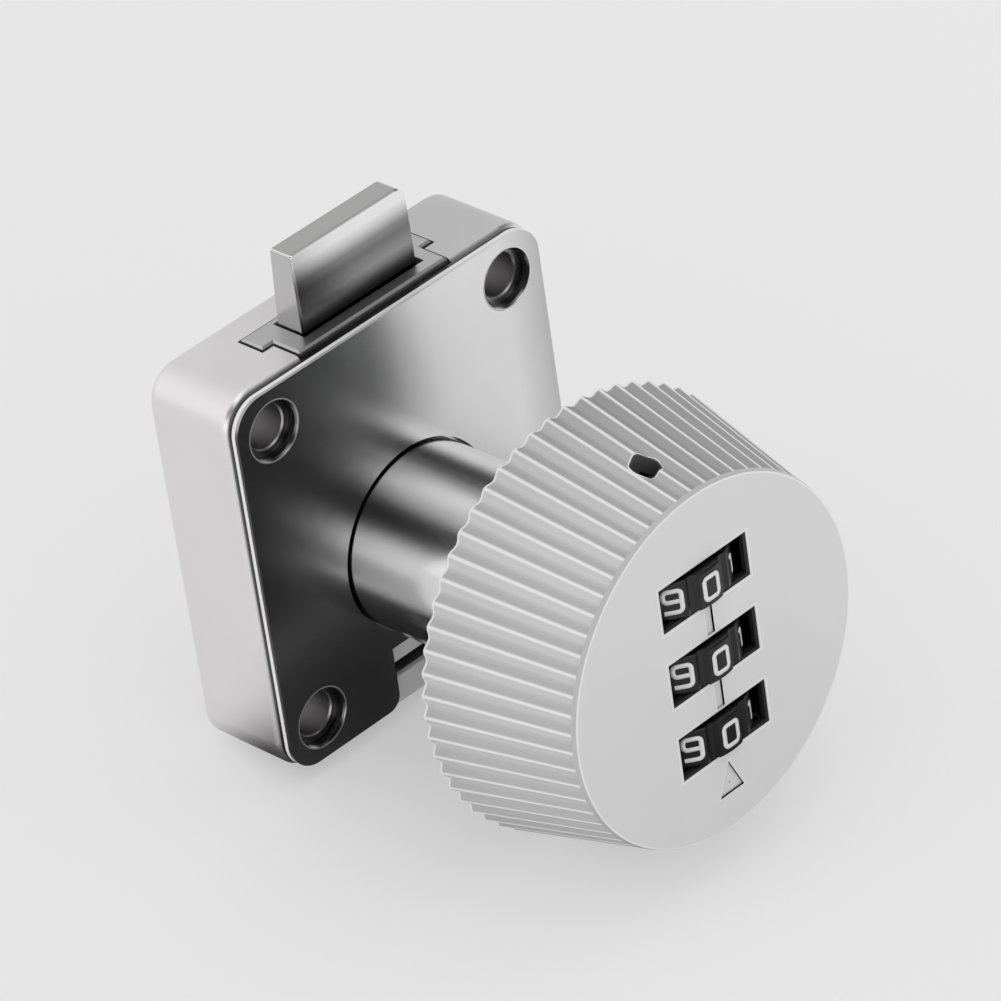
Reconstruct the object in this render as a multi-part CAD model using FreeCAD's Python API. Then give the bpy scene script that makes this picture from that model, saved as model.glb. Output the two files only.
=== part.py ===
"""Combination drawer lock: a bolt case, a barrel through the drawer front and a code knob.

The origin is the point where the barrel's axis meets the mounting face of the cover plate.
+Z is the way the bolt shoots, -Y points outwards to the knob, and +X is to the right as seen
from the knob. All lengths are in millimetres.
"""
import FreeCAD
import Part
import math
import os

# Cover plate, whose outer face lies against the drawer front
plate_width = 40.0
plate_height = 41.0
plate_thickness = 1.2
plate_corner = 3.3
plate_edge = 0.35
barrel_drop = 4.0
notch_width = 11.5
notch_height = 6.5
notch_round = 1.5

# Bolt case
case_reveal = 0.35
case_depth = 10.6
side_wall = 2.0
top_wall = 2.0
bottom_wall = 3.0
back_wall = 1.5
case_front_round = 0.7
case_back_round = 1.0
rail_thickness = 1.4
rail_gap = 0.2
back_rail_inset = 3.2
back_rail_gap = 0.1

# Four mounting screws near the corners
screw_inset_x = 4.45
screw_inset_top = 4.3
screw_inset_bottom = 4.35
screw_hole_r = 2.2
plate_hole_r = 2.85
plate_hole_edge = 0.2
pillar_r = 3.9
countersink_r = 3.6
countersink_depth = 1.4
screw_hole_edge = 0.15

# Barrel with its square flange
barrel_r = 9.4
barrel_gap = 0.3
barrel_wall = 3.4
counterbore_wall = 1.82
flange_size = 25.4
flange_thickness = 1.5
flange_corner_cut = 4.2
flange_chamfer = 0.8
panel_room = 22.1

# Drive shaft with its crank disc and pin
running_gap = 0.08
sliding_gap = 0.1
side_play = 0.3
crank_disc_thickness = 2.0
crank_pin_r = 1.25
shaft_clearance = 2.0
shaft_screw_r = 1.25
shaft_screw_reach = 6.0
thread_gap = 0.04

# Bolt and the guide that it slides in
bolt_width = 15.0
bolt_thickness = 3.5
bolt_tip_thickness = 2.6
bolt_reach = 8.8
bolt_corner_left = 0.35
bolt_corner_right = 1.2
bolt_bow = 0.2
bolt_edge = 0.15
tail_width = 20.8
tail_below_slot = 6.7
flange_to_bolt = 0.7
slot_play = 0.3
guide_width = 19.6
guide_ear = 1.4
guide_ear_length = 2.9
guide_depth = 6.7
guide_proud = 0.3
guide_front_gap = 0.35
guide_below = 0.9
guide_play_left = 0.2
guide_play_right = 0.7
guide_play_y = 0.25
guide_chamfer = 0.2
guide_gap = 0.25
guide_flange = 0.5
guide_flange_thickness = 0.8
guide_flange_back = 1.0

# Leaf spring behind the bolt
leaf_thickness = 0.35
leaf_width = 6.0
leaf_length = 17.0

# Knob shell
knob_rear_r = 22.0
knob_ridge_end_r = 18.42
knob_front_r = 18.25
knob_depth = 15.95
knob_band = 0.55
knob_edge = 0.15
ridge_count = 60
ridge_depth = 0.5
ridge_phase = 5.0
ridge_steps = 6
knob_wall = 1.55
knob_front_wall = 1.6
window_width = 11.2
window_height = 4.27
window_bevel = 0.25
window_lip = 0.45
pocket_margin = 1.2
wheel_pitch = 8.2
wheel_rise = 0.5
mark_depth = 0.3
line_width = 1.0
triangle_drop = 3.45
triangle_height = 3.5
triangle_half = 1.6
reset_hole_r = 1.5

# Number wheels, code sleeves and their axle
wheel_r = 6.65
wheel_proud = 0.9
window_play = 0.18
digit_count = 10
wheel_chamfer = 0.12
wheel_groove_r = 0.8
wheel_groove_depth = 0.4
axle_r = 1.5
hub_wall = 0.85
gate_disc_r = 3.5
gate_disc_thickness = 2.2
gate_width = 1.9
gate_depth = 1.6
spline_r = 3.1
spline_depth = 0.5
spline_length = 0.9
spline_gap = 0.1
reset_travel = 1.4
stack_gap = 0.05

# Reset plunger
plunger_r = 2.3
plunger_wall_over_axle = 1.0
plunger_stub_r = 1.1
plunger_recess = 2.1
plunger_cap = 1.7
plunger_shoulder = 0.4
axle_reach = 1.0

# Wheel chassis, the moulded frame inside the knob
chassis_thickness = 1.5
chassis_recess = 0.5
collar_wall = 2.3
collar_length = 1.9
hub_length = 7.1
hub_floor = 2.2
cheek_thickness = 1.2
cheek_gap = 0.35
prong_thickness = 0.8
prong_clear = 0.15
prong_slot = 3.9
ear_thickness = 1.4
ear_half = 3.0
spring_room = 3.1
low_ear_half = 2.4

# Locking bar
bar_width = 1.8
bar_thickness = 1.3
bar_travel = 1.5
bar_bite = 1.3
bar_clear = 0.25
bar_end_gap = 0.3
seat_thickness = 1.0
finger_width = 1.6
tooth_inset = 0.4
tooth_over_bore = 0.7
cam_slope = 0.26

# Fasteners and coil springs
boss_r = 2.0
boss_ring_r = 14.9
boss_angle = 25.7
chassis_screw_r = 1.0
chassis_screw_head_r = 1.9
chassis_screw_head = 0.9
chassis_screw_bite = 6.0
screw_slot = 0.5
coil_wire = 0.35
bar_spring_r = 0.95
bar_spring_turns = 4.0
reset_spring_turns = 3.0
stake_r = 0.5
detent_thickness = 0.3
detent_width = 4.0
detent_nose_r = 0.7

# Outline of the plate and the case
plate_x = plate_width / 2.0
plate_top = barrel_drop + plate_height / 2.0
plate_bottom = barrel_drop - plate_height / 2.0
case_x = plate_x + case_reveal
case_top = plate_top + case_reveal
case_bottom = plate_bottom - case_reveal
case_front = plate_thickness
case_back = case_front + case_depth
inner_x = case_x - side_wall
inner_top = case_top - top_wall
inner_bottom = case_bottom + bottom_wall
inner_back = case_back - back_wall
case_corner = plate_corner + case_reveal
inner_corner = max(case_corner - side_wall, 0.5)
screw_x = plate_x - screw_inset_x
screw_top = plate_top - screw_inset_top
screw_bottom = plate_bottom + screw_inset_bottom

# Radii inside the barrel
bore_r = barrel_r - barrel_wall
crank_disc_r = barrel_r - counterbore_wall - running_gap
crank_r = crank_disc_r - crank_pin_r - 0.05
shaft_r = bore_r - shaft_clearance
shaft_square = shaft_r * 1.35
tooth_inner_r = bore_r + tooth_over_bore
tooth_outer_r = barrel_r - tooth_inset

# Stations along the barrel's axis
flange_back = case_front + flange_thickness
disc_back = flange_back - 0.2
disc_front = disc_back - crank_disc_thickness
shoulder_y = disc_front - 0.2
barrel_end = -panel_room - 0.2
base_rear = -panel_room - chassis_recess
base_front = base_rear - chassis_thickness
knob_front = -panel_room - knob_depth
band_rear = knob_front + knob_band
wall_rear = knob_front + knob_front_wall
axle_y = knob_front - wheel_proud + wheel_r
hub_rear = base_rear + hub_length
socket_end = base_rear + hub_floor
square_front = socket_end + 0.05
square_rear = hub_rear + 0.1

# Bolt stations
bolt_front = flange_back + flange_to_bolt
bolt_back = bolt_front + bolt_thickness
pin_reach = bolt_back - 0.6
crank_rise = crank_r * math.cos(math.radians(45.0))
bolt_travel = 2.0 * crank_rise
bolt_tip = case_top + bolt_reach
guide_top = case_top + guide_proud
guide_bottom = inner_top - guide_below
tail_top = guide_bottom - 0.4
tail_bottom = crank_rise - crank_pin_r - slot_play - tail_below_slot
tail_x = tail_width / 2.0

# Wheel stack, from the wheel nearest the bolt to the farthest
wheel_centres = [wheel_rise + wheel_pitch, wheel_rise, wheel_rise - wheel_pitch]
wheel_half = window_height / 2.0 - window_play
hub_r = axle_r + running_gap + hub_wall
stack_bottom = [centre - wheel_half - sliding_gap - gate_disc_thickness for centre in wheel_centres]
stack_top = stack_bottom[0] + wheel_pitch
ear_top_low = stack_top + plunger_cap
ear_top_high = ear_top_low + ear_thickness
ear_low_high = stack_bottom[2] - spring_room
ear_low_low = ear_low_high - ear_thickness
cheek_x = wheel_r + cheek_gap
cheek_out = cheek_x + cheek_thickness
cheek_front = axle_y - 0.8
ear_front = axle_y - plunger_r - 1.0
low_ear_front = axle_y - axle_r - 1.0

# Locking bar stations
bar_rear = base_rear - sliding_gap
bar_front = bar_rear - bar_thickness
finger_end = axle_y + gate_disc_r + bar_clear
finger_thickness = gate_disc_thickness - reset_travel - 2.0 * stack_gap
tooth_end = barrel_end + bar_bite
bar_low = ear_low_high + bar_end_gap
bar_high = ear_top_low - bar_end_gap
bar_spring_z = [bar_high - bar_spring_r - 0.1, bar_low + bar_spring_r + 0.1]
seat_front = axle_y + gate_disc_r + 0.2
spring_seat = seat_front + seat_thickness


def vec(x, y, z):
    """A point or direction."""
    return FreeCAD.Vector(x, y, z)


def block(x0, x1, y0, y1, z0, z1):
    """A box between six planes."""
    return Part.makeBox(x1 - x0, y1 - y0, z1 - z0, vec(x0, y0, z0))


def rod_y(radius, y0, y1, x=0.0, z=0.0):
    """A round bar along Y."""
    return Part.makeCylinder(radius, y1 - y0, vec(x, y0, z), vec(0, 1, 0))


def rod_z(radius, z0, z1, x=0.0, y=0.0):
    """A round bar along Z."""
    return Part.makeCylinder(radius, z1 - z0, vec(x, y, z0), vec(0, 0, 1))


def cone_y(radius0, radius1, y0, y1, x=0.0, z=0.0):
    """A cone along Y with radius0 at y0 and radius1 at y1, where y1 is above y0."""
    return Part.makeCone(radius0, radius1, y1 - y0, vec(x, y0, z), vec(0, 1, 0))


def edges_along_y(shape):
    """The straight edges that run along Y."""
    found = []
    for edge in shape.Edges:
        box = edge.BoundBox
        if box.YLength > 0.01 and box.XLength < 0.001 and box.ZLength < 0.001:
            found.append(edge)
    return found


def edges_at_y(shape, y):
    """The edges that lie in one plane across the barrel's axis."""
    return [edge for edge in shape.Edges if abs(edge.BoundBox.YMin - y) < 0.001
            and abs(edge.BoundBox.YMax - y) < 0.001]


def round_slab(x0, x1, y0, y1, z0, z1, radius):
    """A slab with rounded corners, as seen along Y."""
    slab = block(x0, x1, y0, y1, z0, z1)
    return slab.makeFillet(radius, edges_along_y(slab))


def prism_y(points, y0, y1):
    """A prism along Y over a list of x, z corners."""
    wire = Part.makePolygon([vec(x, y0, z) for x, z in points + points[:1]])
    return Part.Face(wire).extrude(vec(0, y1 - y0, 0))


def prism_z(points, z0, z1):
    """A prism along Z over a list of x, y corners."""
    wire = Part.makePolygon([vec(x, y, z0) for x, y in points + points[:1]])
    return Part.Face(wire).extrude(vec(0, 0, z1 - z0))


def prism_x(points, x0, x1):
    """A prism along X over a list of y, z corners."""
    wire = Part.makePolygon([vec(x0, y, z) for y, z in points + points[:1]])
    return Part.Face(wire).extrude(vec(x1 - x0, 0, 0))


def joined(shapes):
    """One solid from shapes that touch or overlap."""
    whole = shapes[0].fuse(shapes[1:])
    return whole.removeSplitter()


def trimmed(shape, cutters):
    """A shape less all its cutters."""
    return shape.cut(cutters).removeSplitter()


def coil(radius, wire, turns, length):
    """A round-wire helical spring that stands on the origin and rises along Z."""
    rise = length - wire
    helix = Part.makeHelix(rise / turns, rise, radius)
    ring = Part.Wire([Part.makeCircle(wire / 2.0, vec(radius, 0, 0), vec(0, 1, 0))])
    body = Part.Wire(helix.Edges).makePipeShell([ring], True, True)
    body.translate(vec(0, 0, wire / 2.0))
    return body


def screw_points():
    """The four mounting screw centres as x, z pairs."""
    return [(x, z) for z in (screw_top, screw_bottom) for x in (-screw_x, screw_x)]


def guide_outline(grow):
    """The bolt guide's outline seen from above, a body with an ear at each side of its back."""
    half = guide_width / 2.0 + grow
    ear = guide_width / 2.0 + guide_ear + grow
    front = case_front + guide_front_gap - grow
    back = case_front + guide_depth + grow
    step = case_front + guide_depth - guide_ear_length - grow
    return [(-half, front), (half, front), (half, step), (ear, step), (ear, back),
            (-ear, back), (-ear, step), (-half, step)]


def make_case():
    """Die-cast case: a rounded tray with screw pillars, bolt rails and the guide's opening."""
    tray = round_slab(-case_x, case_x, case_front, case_back, case_bottom, case_top, case_corner)
    tray = tray.makeFillet(case_back_round, edges_at_y(tray, case_back))
    tray = tray.makeFillet(case_front_round, edges_at_y(tray, case_front))
    hollow = round_slab(-inner_x, inner_x, case_front - 1.0, inner_back, inner_bottom, inner_top, inner_corner)
    added = [rod_y(pillar_r, case_front, inner_back, x, z) for x, z in screw_points()]
    rail_in = tail_x + rail_gap
    back_rail_out = tail_x - back_rail_inset + rail_thickness
    rail_front = flange_back + 0.05
    for side in (-1, 1):
        near, far = sorted((side * rail_in, side * (rail_in + rail_thickness)))
        added.append(block(near, far, rail_front, inner_back, inner_bottom, guide_bottom))
        near, far = sorted((side * (back_rail_out - rail_thickness), side * back_rail_out))
        added.append(block(near, far, bolt_back + back_rail_gap, inner_back, inner_bottom, guide_bottom))
    case = joined([trimmed(tray, [hollow])] + added)
    cutters = [rod_y(screw_hole_r, case_front - 1.0, case_back + 1.0, x, z) for x, z in screw_points()]
    for x, z in screw_points():
        cutters.append(cone_y(screw_hole_r + screw_hole_edge, screw_hole_r, case_front,
                              case_front + screw_hole_edge, x, z))
        cutters.append(cone_y(screw_hole_r, countersink_r, case_back - countersink_depth, case_back, x, z))
    cutters.append(prism_z(guide_outline(guide_gap), inner_top - 1.0, case_top + 1.0))
    half = guide_width / 2.0 + guide_gap
    cutters.append(block(-half, half, case_front - 1.0, case_front + 1.0, inner_top - 1.0, case_top + 1.0))
    return trimmed(case, cutters)


def make_cover_plate():
    """Polished plate with the barrel's hole, four screw holes and a notch in its lower edge."""
    plate = round_slab(-plate_x, plate_x, 0.0, plate_thickness, plate_bottom, plate_top, plate_corner)
    plate = plate.makeChamfer(plate_edge, edges_at_y(plate, 0.0))
    half = notch_width / 2.0
    notch = block(-half, half, -1.0, plate_thickness + 1.0, plate_bottom - 1.0, plate_bottom + notch_height)
    plate = plate.cut(notch)
    cutters = [rod_y(barrel_r + barrel_gap, -1.0, plate_thickness + 1.0)]
    for side in (-1, 1):
        round_x = side * (half + notch_round)
        corner = block(min(side * half, round_x), max(side * half, round_x), -1.0,
                       plate_thickness + 1.0, plate_bottom - 1.0, plate_bottom + notch_round)
        cutters.append(corner.cut(rod_y(notch_round, -2.0, plate_thickness + 2.0, round_x,
                                        plate_bottom + notch_round)))
    for x, z in screw_points():
        cutters.append(rod_y(plate_hole_r, -1.0, plate_thickness + 1.0, x, z))
        cutters.append(cone_y(plate_hole_r + plate_hole_edge, plate_hole_r, 0.0, plate_hole_edge, x, z))
    return trimmed(plate, cutters)


def make_bolt_guide():
    """Steel guide in the case's top wall, with the window that the bolt slides through."""
    guide = prism_z(guide_outline(0.0), guide_bottom, guide_top)
    ear = guide_width / 2.0 + guide_ear
    back = case_front + guide_depth
    flange = block(-ear - guide_flange, ear + guide_flange, back - guide_ear_length, back + guide_flange_back,
                   guide_bottom, guide_bottom + guide_flange_thickness)
    half = bolt_width / 2.0
    front = bolt_front - bolt_bow - guide_play_y
    window = block(-half - guide_play_left, half + guide_play_right, front, bolt_back + guide_play_y,
                   guide_bottom - 1.0, guide_top + 1.0)
    top_edges = [edge for edge in guide.Edges if edge.BoundBox.ZMin > guide_top - 0.001]
    guide = guide.makeChamfer(guide_chamfer, top_edges)
    return trimmed(joined([guide, flange]), [window])


def make_bolt():
    """Sliding bolt: a bowed, tapered head on a wide tail with a cross slot for the crank pin."""
    half = bolt_width / 2.0
    root_z = tail_top - 1.0
    bow = Part.Arc(vec(-half, bolt_front, root_z), vec(-half, bolt_front - bolt_bow, (root_z + bolt_tip) / 2.0),
                   vec(-half, bolt_front, bolt_tip)).toShape()
    corners = [vec(-half, bolt_front, bolt_tip), vec(-half, bolt_front + bolt_tip_thickness, bolt_tip),
               vec(-half, bolt_back, guide_bottom), vec(-half, bolt_back, root_z),
               vec(-half, bolt_front, root_z)]
    wire = Part.Wire([bow] + Part.makePolygon(corners).Edges)
    head = Part.Face(wire).extrude(vec(bolt_width, 0, 0))
    for side, radius in ((-1, bolt_corner_left), (1, bolt_corner_right)):
        tip_edges = [edge for edge in head.Edges if edge.BoundBox.ZMin > bolt_tip - 0.001
                     and edge.BoundBox.XLength < 0.001 and side * edge.BoundBox.XMin > 0.0]
        head = head.makeFillet(radius, tip_edges)
    front_edges = [edge for edge in head.Edges if edge.BoundBox.YMax < bolt_front + 0.001
                   and edge.BoundBox.XLength > 0.001 and edge.BoundBox.ZMin > root_z + 1.0]
    head = head.makeChamfer(bolt_edge, front_edges)
    tail = round_slab(-tail_x, tail_x, bolt_front, bolt_back, tail_bottom, tail_top, 1.0)
    slot_half = crank_pin_r + slot_play
    slot_in = crank_rise - crank_pin_r - 2.0 * slot_play
    slot_out = crank_r + crank_pin_r + 2.0 * slot_play
    slot = round_slab(slot_in, slot_out, bolt_front - 1.0, bolt_back + 1.0,
                      crank_rise - slot_half, crank_rise + slot_half, slot_half * 0.6)
    return trimmed(joined([head, tail]), [slot])


def make_barrel():
    """Barrel with a square flange behind the plate and a face cam on its outer end."""
    half = flange_size / 2.0
    cut = half - flange_corner_cut
    corners = [(-half, -cut), (-half, cut), (-cut, half), (cut, half),
               (half, cut), (half, -cut), (cut, -half), (-cut, -half)]
    flange = prism_y(corners, case_front, flange_back)
    flange = flange.makeChamfer(flange_chamfer, edges_at_y(flange, case_front))
    tube = rod_y(barrel_r, barrel_end, flange_back)
    cutters = [rod_y(bore_r, barrel_end - 1.0, flange_back + 1.0),
               rod_y(crank_disc_r + running_gap, shoulder_y, flange_back + 1.0)]
    back = bar_width / 2.0 + 0.25
    reach = barrel_r + 1.0
    fall = cam_slope * reach
    for side in (-1, 1):
        ramp = [(barrel_end - 1.0, 0.0), (barrel_end, 0.0), (barrel_end + fall, side * reach),
                (barrel_end - 1.0, side * reach)]
        x0, x1 = sorted((-side * back, side * reach))
        cutters.append(prism_x(ramp, x0, x1))
    return trimmed(joined([flange, tube]), cutters)


def make_drive_shaft():
    """Shaft with a crank disc and pin at the bolt end and a square, tapped outer end."""
    half = shaft_square / 2.0
    parts = [rod_y(crank_disc_r, disc_front, disc_back),
             rod_y(shaft_r, square_rear, disc_front),
             block(-half, half, square_front, square_rear, -half, half),
             rod_y(crank_pin_r, disc_back - 0.5, pin_reach, crank_rise, crank_rise)]
    tapped = rod_y(shaft_screw_r + thread_gap, square_front - 1.0, square_front + shaft_screw_reach + 1.0)
    return trimmed(joined(parts), [tapped])


def make_leaf_spring():
    """Bowed leaf between the case's back wall and the bolt, which keeps the bolt from rattling."""
    middle = (tail_top + crank_rise + slot_play + crank_pin_r) / 2.0
    low = middle - leaf_length / 2.0
    high = middle + leaf_length / 2.0
    crest = bolt_back + 0.1
    foot = inner_back - leaf_thickness
    outer = Part.Arc(vec(0, foot, low), vec(0, crest, middle), vec(0, foot, high)).toShape()
    inner = Part.Arc(vec(0, inner_back, high), vec(0, crest + leaf_thickness, middle),
                     vec(0, inner_back, low)).toShape()
    ends = [Part.makeLine(vec(0, foot, high), vec(0, inner_back, high)),
            Part.makeLine(vec(0, inner_back, low), vec(0, foot, low))]
    strip = Part.Face(Part.Wire([outer, ends[0], inner, ends[1]])).extrude(vec(leaf_width, 0, 0))
    strip.translate(vec(-leaf_width / 2.0, 0, 0))
    return strip


def tip_radius(y):
    """Radius over the knob's ridges at one station."""
    share = (-panel_room - y) / (-panel_room - band_rear)
    return knob_rear_r + (knob_ridge_end_r - knob_rear_r) * share


def ridge_wire(tip, y):
    """The ridged outline across the knob, with rounded tips and valleys."""
    depth = tip * ridge_depth / knob_rear_r
    points = []
    for step in range(ridge_steps * ridge_count):
        wave = 0.5 + 0.5 * math.cos(2.0 * math.pi * step / ridge_steps)
        angle = math.radians(ridge_phase + step * 360.0 / (ridge_steps * ridge_count))
        radius = tip - depth * (1.0 - wave)
        points.append(vec(radius * math.cos(angle), y, radius * math.sin(angle)))
    return Part.makePolygon(points + points[:1])


def inner_radius(y):
    """Radius of the knob's hollow at one station."""
    return tip_radius(y) - ridge_depth - knob_wall


def boss_points():
    """The four chassis screw centres as x, z pairs."""
    points = []
    for base in (0.0, 180.0):
        for turn in (-boss_angle, boss_angle):
            angle = math.radians(base + turn)
            points.append((boss_ring_r * math.cos(angle), boss_ring_r * math.sin(angle)))
    return points


def window_funnel(z):
    """A window through the knob's front with a bevelled mouth."""
    half_x = window_width / 2.0
    half_z = window_height / 2.0
    hole = block(-half_x, half_x, knob_front - 1.0, wall_rear + 1.0, z - half_z, z + half_z)
    rings = []
    for y, grow in ((knob_front, window_bevel), (knob_front + window_bevel, 0.0)):
        x = half_x + grow
        high = z + half_z + grow
        low = z - half_z - grow
        rings.append(Part.makePolygon([vec(-x, y, low), vec(x, y, low), vec(x, y, high),
                                       vec(-x, y, high), vec(-x, y, low)]))
    room_x = half_x + pocket_margin
    room_z = half_z + pocket_margin
    room = block(-room_x, room_x, knob_front + window_lip, wall_rear + 1.0, z - room_z, z + room_z)
    return hole.fuse([Part.makeLoft(rings, True, True), room])


def make_knob_shell():
    """Cast knob: ridged taper, flat front with three windows, and bosses for the chassis screws."""
    ridged = Part.makeLoft([ridge_wire(knob_rear_r, -panel_room), ridge_wire(knob_ridge_end_r, band_rear)],
                           True, True)
    band = cone_y(knob_front_r, knob_ridge_end_r, knob_front, band_rear)
    band = band.makeFillet(knob_edge, edges_at_y(band, knob_front))
    hollow = cone_y(inner_radius(wall_rear), inner_radius(-panel_room), wall_rear, -panel_room)
    mouth = rod_y(inner_radius(-panel_room), -panel_room - 0.01, -panel_room + 1.0)
    shell = trimmed(joined([ridged, band]), [hollow, mouth])
    bosses = [rod_y(boss_r, wall_rear - 0.01, base_front, x, z) for x, z in boss_points()]
    shell = joined([shell] + bosses)
    cutters = [window_funnel(z) for z in wheel_centres]
    for upper, lower in zip(wheel_centres, wheel_centres[1:]):
        cutters.append(block(-line_width / 2.0, line_width / 2.0, knob_front - 1.0, knob_front + mark_depth,
                             lower + window_height / 2.0, upper - window_height / 2.0))
    apex = wheel_centres[-1] - triangle_drop
    base = apex - triangle_height
    cutters.append(prism_y([(0.0, apex), (triangle_half, base), (-triangle_half, base)],
                           knob_front - 1.0, knob_front + mark_depth))
    cutters.append(rod_z(reset_hole_r, 0.0, knob_rear_r + 1.0, 0.0, axle_y))
    for x, z in boss_points():
        cutters.append(rod_y(chassis_screw_r + thread_gap, base_front - chassis_screw_bite - 1.0,
                             base_front + 0.5, x, z))
    return trimmed(shell, cutters)


def make_chassis():
    """Moulded chassis: base disc, hub and collar at the rear, cheeks, prongs and ears for the wheels."""
    plate_r = inner_radius(base_front) - 0.15
    parts = [rod_y(plate_r, base_front, base_rear),
             rod_y(bore_r - running_gap, base_rear, hub_rear),
             rod_y(barrel_r + barrel_gap + collar_wall, base_rear, base_rear + collar_length)]
    low = wheel_centres[2] - wheel_half - prong_clear - prong_thickness
    high = wheel_centres[0] + wheel_half + prong_clear + prong_thickness
    prong_front = cheek_front
    for side in (-1, 1):
        near, far = sorted((side * cheek_x, side * cheek_out))
        parts.append(block(near, far, cheek_front, base_front + 0.01, low, high))
        near, far = sorted((side * prong_slot, side * (cheek_x + 0.5)))
        for centre in wheel_centres:
            face = centre + wheel_half + prong_clear
            parts.append(block(near, far, prong_front, base_front + 0.01, face, face + prong_thickness))
            face = centre - wheel_half - prong_clear
            parts.append(block(near, far, prong_front, base_front + 0.01, face - prong_thickness, face))
    parts.append(block(-ear_half, ear_half, ear_front, base_front + 0.01, ear_top_low, ear_top_high))
    parts.append(block(-low_ear_half, low_ear_half, low_ear_front, base_front + 0.01, ear_low_low, ear_low_high))
    tab = bar_spring_r + 0.1
    parts.append(block(-tab, tab, seat_front, spring_seat, bar_spring_z[0] - tab, ear_top_high))
    parts.append(block(-tab, tab, seat_front, spring_seat, ear_low_low, bar_spring_z[1] + tab))
    stake_x = cheek_out + detent_thickness + 0.3
    for z in (low + 0.5 + stake_r, high - 0.5 - stake_r):
        parts.append(Part.makeCylinder(stake_r, stake_x - cheek_x, vec(cheek_x, axle_y, z), vec(1, 0, 0)))
    chassis = joined(parts)
    slot = bar_width / 2.0 + sliding_gap
    half = shaft_square / 2.0
    cutters = [block(-slot, slot, base_front - 1.0, base_rear, bar_low - sliding_gap, bar_high + sliding_gap),
               rod_y(barrel_r + barrel_gap, base_rear, base_rear + collar_length + 1.0).cut(
                   rod_y(bore_r - running_gap, base_rear - 1.0, hub_rear + 1.0)),
               block(-half, half, socket_end, hub_rear + 1.0, -half, half),
               rod_y(shaft_screw_r + thread_gap, base_rear - 1.0, socket_end + 1.0),
               cone_y(2.0 * shaft_screw_r + thread_gap, shaft_screw_r + thread_gap, base_rear,
                      base_rear + shaft_screw_r),
               rod_z(plunger_r + running_gap, ear_top_low - 1.0, ear_top_high + 1.0, 0.0, axle_y),
               rod_z(axle_r, ear_low_low - 1.0, ear_low_high + 1.0, 0.0, axle_y)]
    for x, z in boss_points():
        cutters.append(rod_y(chassis_screw_r + thread_gap, base_front - 1.0, base_rear + 1.0, x, z))
        cutters.append(cone_y(chassis_screw_r + thread_gap, chassis_screw_head_r + thread_gap,
                              base_rear - chassis_screw_head, base_rear, x, z))
    for centre in wheel_centres:
        cutters.append(block(cheek_x - 0.5, cheek_out + 0.01, axle_y - 1.4, axle_y + 1.4,
                             centre - wheel_half + 0.3, centre + wheel_half - 0.3))
    return trimmed(chassis, cutters)


def make_chassis_screws():
    """Four countersunk screws that hold the chassis in the knob shell, as one group."""
    screws = []
    for x, z in boss_points():
        head = cone_y(chassis_screw_r, chassis_screw_head_r, base_rear - chassis_screw_head, base_rear, x, z)
        shank = rod_y(chassis_screw_r, base_front - chassis_screw_bite, base_rear - chassis_screw_head, x, z)
        slot = block(x - 2.0, x + 2.0, base_rear - 0.4, base_rear + 1.0, z - screw_slot / 2.0, z + screw_slot / 2.0)
        screws.append(trimmed(joined([head, shank]), [slot]))
    return Part.Compound(screws)


def make_shaft_screw():
    """Countersunk screw that clamps the chassis hub on the shaft's square end."""
    head = cone_y(2.0 * shaft_screw_r, shaft_screw_r, base_rear, base_rear + shaft_screw_r)
    shank = rod_y(shaft_screw_r, base_rear + shaft_screw_r, socket_end + shaft_screw_reach)
    slot = block(-3.0, 3.0, base_rear - 1.0, base_rear + 0.5, -screw_slot / 2.0, screw_slot / 2.0)
    return trimmed(joined([head, shank]), [slot])


def spline_points(radius, depth, centre_x, centre_y):
    """A ten-tooth spline outline around a vertical axis."""
    points = []
    share = (-0.32, -0.18, 0.18, 0.32)
    for tooth in range(digit_count):
        for index, offset in enumerate(share):
            angle = math.radians((tooth + offset) * 360.0 / digit_count)
            reach = radius if index in (1, 2) else radius - depth
            points.append((centre_x + reach * math.sin(angle), centre_y - reach * math.cos(angle)))
    return points


def make_number_wheel(centre):
    """Ten-faced number wheel with finger grooves, a bore for the sleeve and a splined recess."""
    low = centre - wheel_half
    high = centre + wheel_half
    wheel = rod_z(wheel_r, low, high, 0.0, axle_y)
    wheel = wheel.makeChamfer(wheel_chamfer, [edge for edge in wheel.Edges if edge.BoundBox.ZLength < 0.001])
    cutters = [rod_z(hub_r + running_gap, low - 1.0, high + 1.0, 0.0, axle_y),
               prism_z(spline_points(spline_r + spline_gap, spline_depth, 0.0, axle_y),
                       low - 1.0, low + spline_length + 0.2)]
    groove_ring = wheel_r - wheel_groove_depth + wheel_groove_r
    for step in range(digit_count):
        angle = math.radians((step + 0.5) * 360.0 / digit_count)
        cutters.append(rod_z(wheel_groove_r, low - 1.0, high + 1.0, groove_ring * math.sin(angle),
                             axle_y - groove_ring * math.cos(angle)))
    return trimmed(wheel, cutters)


def make_code_sleeve(low, centre):
    """Code sleeve: a gate disc under the wheel, a spline in its recess and a hub through its bore."""
    disc_top = low + gate_disc_thickness
    spline_top = centre - wheel_half + spline_length
    gate = gate_width / 2.0
    sleeve = joined([rod_z(gate_disc_r, low, disc_top, 0.0, axle_y),
                     prism_z(spline_points(spline_r, spline_depth, 0.0, axle_y), disc_top, spline_top),
                     rod_z(hub_r, low, low + wheel_pitch - stack_gap, 0.0, axle_y)])
    rear = axle_y + gate_disc_r
    return trimmed(sleeve, [rod_z(axle_r + running_gap, low - 1.0, low + wheel_pitch + 1.0, 0.0, axle_y),
                            block(-gate, gate, rear - gate_depth, rear + 1.0, low - 1.0, disc_top)])


def make_axle():
    """Plain axle pin through the wheel stack, held in the chassis's lower ear."""
    top = stack_top + axle_reach
    axle = rod_z(axle_r, ear_low_low, top, 0.0, axle_y)
    return axle.makeChamfer(0.2, [edge for edge in axle.Edges if edge.BoundBox.ZLength < 0.001])


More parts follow.
